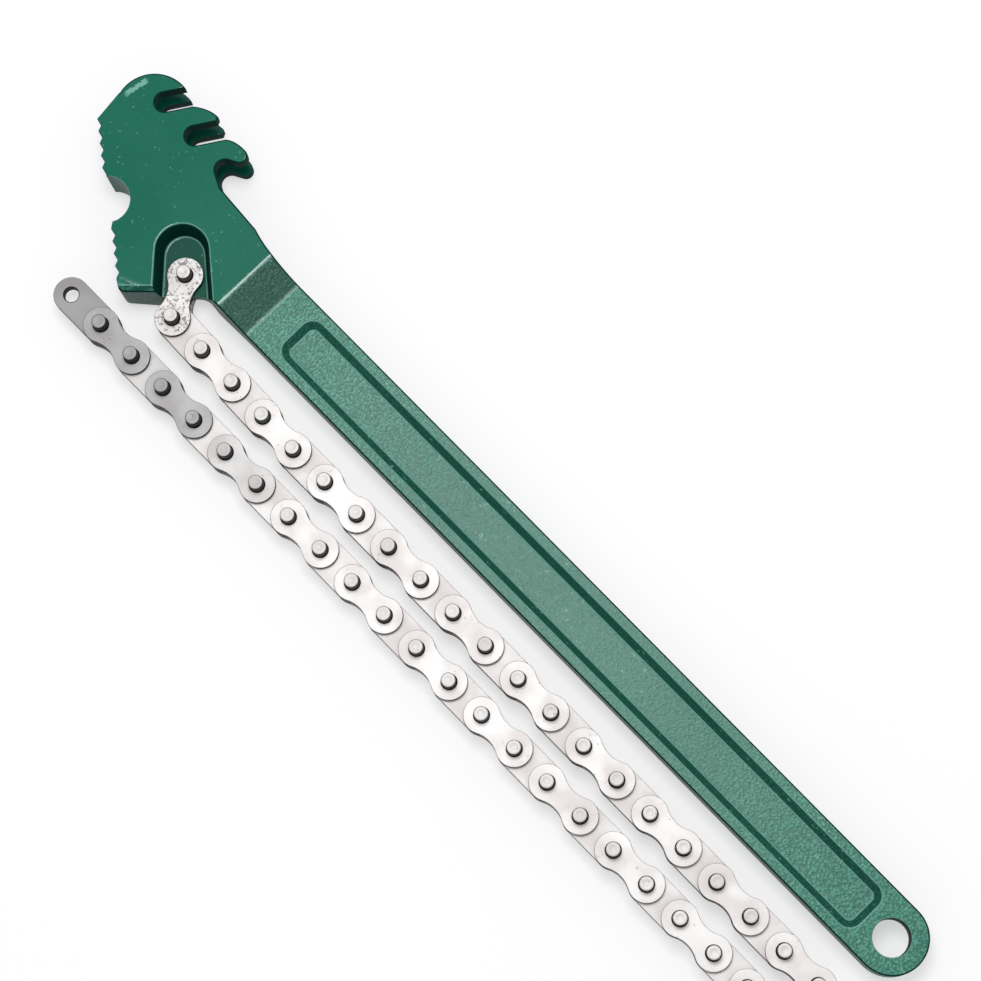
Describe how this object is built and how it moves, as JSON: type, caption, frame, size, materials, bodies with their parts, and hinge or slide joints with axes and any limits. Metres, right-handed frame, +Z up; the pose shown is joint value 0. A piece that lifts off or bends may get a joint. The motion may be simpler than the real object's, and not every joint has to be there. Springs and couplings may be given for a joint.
{
  "type": "chain pipe wrench",
  "caption": "Chain pipe wrench: a forged handle and toothed hook jaw in green paint, with a leaf chain pinned to the head and laid double beside the handle.",
  "frame": {"origin": "middle of the footprint, on the plane that the head lies on", "axes": "+X along the handle from the head to the hanging hole, +Y from the chain side to the hook side, +Z up from the lower face of the head"},
  "size_m": [0.407, 0.086, 0.0208],
  "materials": {
    "green_paint": "gloss enamel, smooth on the head and slightly pebbled on the handle",
    "anchor_steel": "bright plated steel, finely pitted",
    "pin_steel": "plated steel",
    "outer_plate_steel": "satin plated steel",
    "inner_plate_steel": "satin plated steel",
    "end_link_steel": "duller grey plated steel"
  },
  "bodies": {
    "wrench": {"wrench_body": "green_paint"},
    "link_01": {"anchor_plate_front": "anchor_steel", "anchor_plate_back": "anchor_steel", "anchor_pin": "pin_steel", "anchor_link_pin": "pin_steel"},
    "link_02": {"inner_link_02": "inner_plate_steel"},
    "link_03": {"outer_link_03": "outer_plate_steel"},
    "link_04": {"inner_link_04": "inner_plate_steel"},
    "link_05": {"outer_link_05": "outer_plate_steel"},
    "link_06": {"inner_link_06": "inner_plate_steel"},
    "link_07": {"outer_link_07": "outer_plate_steel"},
    "link_08": {"inner_link_08": "inner_plate_steel"},
    "link_09": {"outer_link_09": "outer_plate_steel"},
    "link_10": {"inner_link_10": "inner_plate_steel"},
    "link_11": {"outer_link_11": "outer_plate_steel"},
    "link_12": {"inner_link_12": "inner_plate_steel"},
    "link_13": {"outer_link_13": "outer_plate_steel"},
    "link_14": {"inner_link_14": "inner_plate_steel"},
    "link_15": {"outer_link_15": "outer_plate_steel"},
    "link_16": {"inner_link_16": "inner_plate_steel"},
    "link_17": {"outer_link_17": "outer_plate_steel"},
    "link_18": {"inner_link_18": "inner_plate_steel"},
    "link_19": {"outer_link_19": "outer_plate_steel"},
    "link_20": {"inner_link_20": "inner_plate_steel"},
    "link_21": {"outer_link_21": "outer_plate_steel"},
    "link_22": {"inner_link_22": "inner_plate_steel"},
    "link_23": {"outer_link_23": "outer_plate_steel"},
    "link_24": {"inner_link_24": "inner_plate_steel"},
    "link_25": {"outer_link_25": "outer_plate_steel"},
    "link_26": {"inner_link_26": "inner_plate_steel"},
    "link_27": {"outer_link_27": "outer_plate_steel"},
    "link_28": {"inner_link_28": "inner_plate_steel"},
    "link_29": {"outer_link_29": "outer_plate_steel"},
    "link_30": {"inner_link_30": "inner_plate_steel"},
    "link_31": {"outer_link_31": "outer_plate_steel"},
    "link_32": {"inner_link_32": "inner_plate_steel"},
    "link_33": {"outer_link_33": "outer_plate_steel"},
    "link_34": {"inner_link_34": "inner_plate_steel"},
    "link_35": {"outer_link_35": "outer_plate_steel"},
    "link_36": {"inner_link_36": "inner_plate_steel"},
    "link_37": {"outer_link_37": "outer_plate_steel"},
    "link_38": {"inner_link_38": "inner_plate_steel"},
    "link_39": {"outer_link_39": "outer_plate_steel"},
    "link_40": {"inner_link_40": "inner_plate_steel"},
    "link_41": {"outer_link_41": "end_link_steel"},
    "link_42": {"inner_link_42": "end_link_steel"},
    "link_43": {"outer_link_43": "end_link_steel"},
    "link_44": {"end_link": "end_link_steel"}
  },
  "joints": [
    {"name": "hinge_01", "type": "hinge", "parent": "wrench", "child": "link_01", "pos_m": [-0.14046, -0.00368, 0.0104], "axis": [0, 0, -1], "range_deg": [0, 8]},
    {"name": "hinge_02", "type": "hinge", "parent": "link_01", "child": "link_02", "pos_m": [-0.13244, -0.01738, 0.0104], "axis": [0, 0, -1], "range_deg": [0, 12]},
    {"name": "hinge_03", "type": "hinge", "parent": "link_02", "child": "link_03", "pos_m": [-0.11657, -0.01788, 0.0104], "axis": [0, 0, -1], "range_deg": [0, 12]},
    {"name": "hinge_04", "type": "hinge", "parent": "link_03", "child": "link_04", "pos_m": [-0.1007, -0.01837, 0.0104], "axis": [0, 0, -1], "range_deg": [0, 12]},
    {"name": "hinge_05", "type": "hinge", "parent": "link_04", "child": "link_05", "pos_m": [-0.08483, -0.01887, 0.0104], "axis": [0, 0, -1], "range_deg": [0, 12]},
    {"name": "hinge_06", "type": "hinge", "parent": "link_05", "child": "link_06", "pos_m": [-0.06897, -0.01937, 0.0104], "axis": [0, 0, -1], "range_deg": [0, 12]},
    {"name": "hinge_07", "type": "hinge", "parent": "link_06", "child": "link_07", "pos_m": [-0.05309, -0.01937, 0.0104], "axis": [0, 0, -1], "range_deg": [0, 12]},
    {"name": "hinge_08", "type": "hinge", "parent": "link_07", "child": "link_08", "pos_m": [-0.03722, -0.01937, 0.0104], "axis": [0, 0, -1], "range_deg": [0, 12]},
    {"name": "hinge_09", "type": "hinge", "parent": "link_08", "child": "link_09", "pos_m": [-0.02134, -0.01937, 0.0104], "axis": [0, 0, -1], "range_deg": [0, 12]},
    {"name": "hinge_10", "type": "hinge", "parent": "link_09", "child": "link_10", "pos_m": [-0.00547, -0.01937, 0.0104], "axis": [0, 0, -1], "range_deg": [0, 12]},
    {"name": "hinge_11", "type": "hinge", "parent": "link_10", "child": "link_11", "pos_m": [0.01041, -0.01937, 0.0104], "axis": [0, 0, -1], "range_deg": [0, 12]},
    {"name": "hinge_12", "type": "hinge", "parent": "link_11", "child": "link_12", "pos_m": [0.02628, -0.01937, 0.0104], "axis": [0, 0, -1], "range_deg": [0, 12]},
    {"name": "hinge_13", "type": "hinge", "parent": "link_12", "child": "link_13", "pos_m": [0.04216, -0.01937, 0.0104], "axis": [0, 0, -1], "range_deg": [0, 12]},
    {"name": "hinge_14", "type": "hinge", "parent": "link_13", "child": "link_14", "pos_m": [0.05803, -0.01937, 0.0104], "axis": [0, 0, -1], "range_deg": [0, 12]},
    {"name": "hinge_15", "type": "hinge", "parent": "link_14", "child": "link_15", "pos_m": [0.07391, -0.01937, 0.0104], "axis": [0, 0, -1], "range_deg": [0, 12]},
    {"name": "hinge_16", "type": "hinge", "parent": "link_15", "child": "link_16", "pos_m": [0.08978, -0.01937, 0.0104], "axis": [0, 0, -1], "range_deg": [0, 12]},
    {"name": "hinge_17", "type": "hinge", "parent": "link_16", "child": "link_17", "pos_m": [0.10566, -0.01937, 0.0104], "axis": [0, 0, -1], "range_deg": [0, 12]},
    {"name": "hinge_18", "type": "hinge", "parent": "link_17", "child": "link_18", "pos_m": [0.12153, -0.01937, 0.0104], "axis": [0, 0, -1], "range_deg": [0, 12]},
    {"name": "hinge_19", "type": "hinge", "parent": "link_18", "child": "link_19", "pos_m": [0.13741, -0.01937, 0.0104], "axis": [0, 0, -1], "range_deg": [0, 12]},
    {"name": "hinge_20", "type": "hinge", "parent": "link_19", "child": "link_20", "pos_m": [0.15328, -0.01937, 0.0104], "axis": [0, 0, -1], "range_deg": [0, 12]},
    {"name": "hinge_21", "type": "hinge", "parent": "link_20", "child": "link_21", "pos_m": [0.16916, -0.01937, 0.0104], "axis": [0, 0, -1], "range_deg": [0, 12]},
    {"name": "hinge_22", "type": "hinge", "parent": "link_21", "child": "link_22", "pos_m": [0.18503, -0.01937, 0.0104], "axis": [0, 0, -1], "range_deg": [-90, 0]},
    {"name": "hinge_23", "type": "hinge", "parent": "link_22", "child": "link_23", "pos_m": [0.18503, -0.03525, 0.0104], "axis": [0, 0, -1], "range_deg": [-120, 0]},
    {"name": "hinge_24", "type": "hinge", "parent": "link_23", "child": "link_24", "pos_m": [0.16922, -0.03667, 0.0104], "axis": [0, 0, -1], "range_deg": [-90, 0]},
    {"name": "hinge_25", "type": "hinge", "parent": "link_24", "child": "link_25", "pos_m": [0.15335, -0.03667, 0.0104], "axis": [0, 0, -1], "range_deg": [0, 90]},
    {"name": "hinge_26", "type": "hinge", "parent": "link_25", "child": "link_26", "pos_m": [0.13747, -0.03667, 0.0104], "axis": [0, 0, -1], "range_deg": [-90, 0]},
    {"name": "hinge_27", "type": "hinge", "parent": "link_26", "child": "link_27", "pos_m": [0.1216, -0.03667, 0.0104], "axis": [0, 0, -1], "range_deg": [0, 90]},
    {"name": "hinge_28", "type": "hinge", "parent": "link_27", "child": "link_28", "pos_m": [0.10572, -0.03667, 0.0104], "axis": [0, 0, -1], "range_deg": [-90, 0]},
    {"name": "hinge_29", "type": "hinge", "parent": "link_28", "child": "link_29", "pos_m": [0.08985, -0.03667, 0.0104], "axis": [0, 0, -1], "range_deg": [0, 90]},
    {"name": "hinge_30", "type": "hinge", "parent": "link_29", "child": "link_30", "pos_m": [0.07397, -0.03667, 0.0104], "axis": [0, 0, -1], "range_deg": [-90, 0]},
    {"name": "hinge_31", "type": "hinge", "parent": "link_30", "child": "link_31", "pos_m": [0.0581, -0.03667, 0.0104], "axis": [0, 0, -1], "range_deg": [0, 90]},
    {"name": "hinge_32", "type": "hinge", "parent": "link_31", "child": "link_32", "pos_m": [0.04222, -0.03667, 0.0104], "axis": [0, 0, -1], "range_deg": [-90, 0]},
    {"name": "hinge_33", "type": "hinge", "parent": "link_32", "child": "link_33", "pos_m": [0.02635, -0.03667, 0.0104], "axis": [0, 0, -1], "range_deg": [0, 90]},
    {"name": "hinge_34", "type": "hinge", "parent": "link_33", "child": "link_34", "pos_m": [0.01047, -0.03667, 0.0104], "axis": [0, 0, -1], "range_deg": [-90, 0]},
    {"name": "hinge_35", "type": "hinge", "parent": "link_34", "child": "link_35", "pos_m": [-0.0054, -0.03667, 0.0104], "axis": [0, 0, -1], "range_deg": [0, 90]},
    {"name": "hinge_36", "type": "hinge", "parent": "link_35", "child": "link_36", "pos_m": [-0.02128, -0.03667, 0.0104], "axis": [0, 0, -1], "range_deg": [-90, 0]},
    {"name": "hinge_37", "type": "hinge", "parent": "link_36", "child": "link_37", "pos_m": [-0.03715, -0.03667, 0.0104], "axis": [0, 0, -1], "range_deg": [0, 90]},
    {"name": "hinge_38", "type": "hinge", "parent": "link_37", "child": "link_38", "pos_m": [-0.05303, -0.03667, 0.0104], "axis": [0, 0, -1], "range_deg": [-90, 0]},
    {"name": "hinge_39", "type": "hinge", "parent": "link_38", "child": "link_39", "pos_m": [-0.0689, -0.03667, 0.0104], "axis": [0, 0, -1], "range_deg": [0, 90]},
    {"name": "hinge_40", "type": "hinge", "parent": "link_39", "child": "link_40", "pos_m": [-0.08478, -0.03667, 0.0104], "axis": [0, 0, -1], "range_deg": [-90, 0]},
    {"name": "hinge_41", "type": "hinge", "parent": "link_40", "child": "link_41", "pos_m": [-0.10065, -0.03667, 0.0104], "axis": [0, 0, -1], "range_deg": [0, 90]},
    {"name": "hinge_42", "type": "hinge", "parent": "link_41", "child": "link_42", "pos_m": [-0.11653, -0.03667, 0.0104], "axis": [0, 0, -1], "range_deg": [-90, 0]},
    {"name": "hinge_43", "type": "hinge", "parent": "link_42", "child": "link_43", "pos_m": [-0.1324, -0.03667, 0.0104], "axis": [0, 0, -1], "range_deg": [0, 90]},
    {"name": "hinge_44", "type": "hinge", "parent": "link_43", "child": "link_44", "pos_m": [-0.14828, -0.03667, 0.0104], "axis": [0, 0, -1], "range_deg": [-90, 30]}
  ],
  "couplings": [
    {"joint": "hinge_02", "follows": "hinge_22", "ratio": -0.13333},
    {"joint": "hinge_03", "follows": "hinge_23", "ratio": -0.099999},
    {"joint": "hinge_04", "follows": "hinge_22", "ratio": -0.13333},
    {"joint": "hinge_05", "follows": "hinge_23", "ratio": -0.099999},
    {"joint": "hinge_06", "follows": "hinge_22", "ratio": -0.13333},
    {"joint": "hinge_07", "follows": "hinge_23", "ratio": -0.099999},
    {"joint": "hinge_08", "follows": "hinge_22", "ratio": -0.13333},
    {"joint": "hinge_09", "follows": "hinge_23", "ratio": -0.099999},
    {"joint": "hinge_10", "follows": "hinge_22", "ratio": -0.13333},
    {"joint": "hinge_11", "follows": "hinge_23", "ratio": -0.099999},
    {"joint": "hinge_12", "follows": "hinge_22", "ratio": -0.13333},
    {"joint": "hinge_13", "follows": "hinge_23", "ratio": -0.099999},
    {"joint": "hinge_14", "follows": "hinge_22", "ratio": -0.13333},
    {"joint": "hinge_15", "follows": "hinge_23", "ratio": -0.099999},
    {"joint": "hinge_16", "follows": "hinge_22", "ratio": -0.13333},
    {"joint": "hinge_17", "follows": "hinge_23", "ratio": -0.099999},
    {"joint": "hinge_18", "follows": "hinge_22", "ratio": -0.13333},
    {"joint": "hinge_19", "follows": "hinge_23", "ratio": -0.099999},
    {"joint": "hinge_20", "follows": "hinge_22", "ratio": -0.13333},
    {"joint": "hinge_21", "follows": "hinge_23", "ratio": -0.099999},
    {"joint": "hinge_25", "follows": "hinge_24", "ratio": -1},
    {"joint": "hinge_27", "follows": "hinge_26", "ratio": -1},
    {"joint": "hinge_29", "follows": "hinge_28", "ratio": -1},
    {"joint": "hinge_31", "follows": "hinge_30", "ratio": -1},
    {"joint": "hinge_33", "follows": "hinge_32", "ratio": -1},
    {"joint": "hinge_35", "follows": "hinge_34", "ratio": -1},
    {"joint": "hinge_37", "follows": "hinge_36", "ratio": -1},
    {"joint": "hinge_39", "follows": "hinge_38", "ratio": -1},
    {"joint": "hinge_41", "follows": "hinge_40", "ratio": -1},
    {"joint": "hinge_43", "follows": "hinge_42", "ratio": -1}
  ]
}
